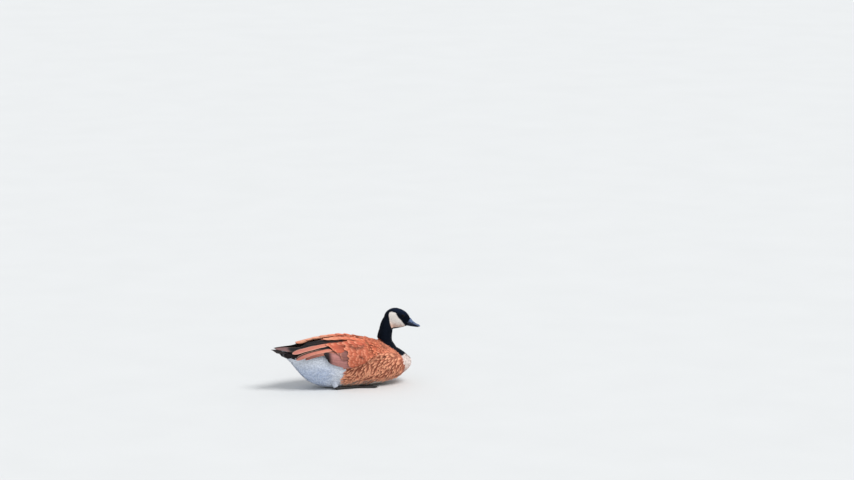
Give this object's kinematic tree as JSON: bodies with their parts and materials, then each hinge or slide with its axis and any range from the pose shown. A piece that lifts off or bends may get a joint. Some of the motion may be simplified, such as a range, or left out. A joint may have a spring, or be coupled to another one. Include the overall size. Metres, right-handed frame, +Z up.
{
  "type": "canada goose",
  "caption": "Life-size still model of a goose afloat: black neck and bill, white cheeks, brown folded wings, pale breast, white rear, resting on its belly.",
  "frame": {"origin": "centre of the bounding box in plan, at the floor that the belly rests on", "axes": "+X towards the bill along the body, +Y to the bird's left, +Z up"},
  "size_m": [0.6312, 0.226, 0.3058],
  "materials": {
    "flank": "soft feathers",
    "mantle": "soft feathers",
    "white": "soft feathers",
    "breast": "soft feathers",
    "neck": "soft feathers",
    "tail": "stiff feathers",
    "bill": "smooth horn",
    "eye": "wet gloss",
    "leg": "scaly skin"
  },
  "bodies": {
    "root": {"torso": "flank", "vent": "white", "breast": "breast", "neck": "neck", "head": "neck", "cheek_patch": "white", "bill_upper": "bill", "bill_lower": "bill", "tail": "tail", "wing_right": "mantle", "wing_left": "mantle", "eye_right": "eye", "eye_left": "eye", "leg_right": "leg", "leg_left": "leg", "foot_right": "leg", "foot_left": "leg"}
  },
  "joints": []
}
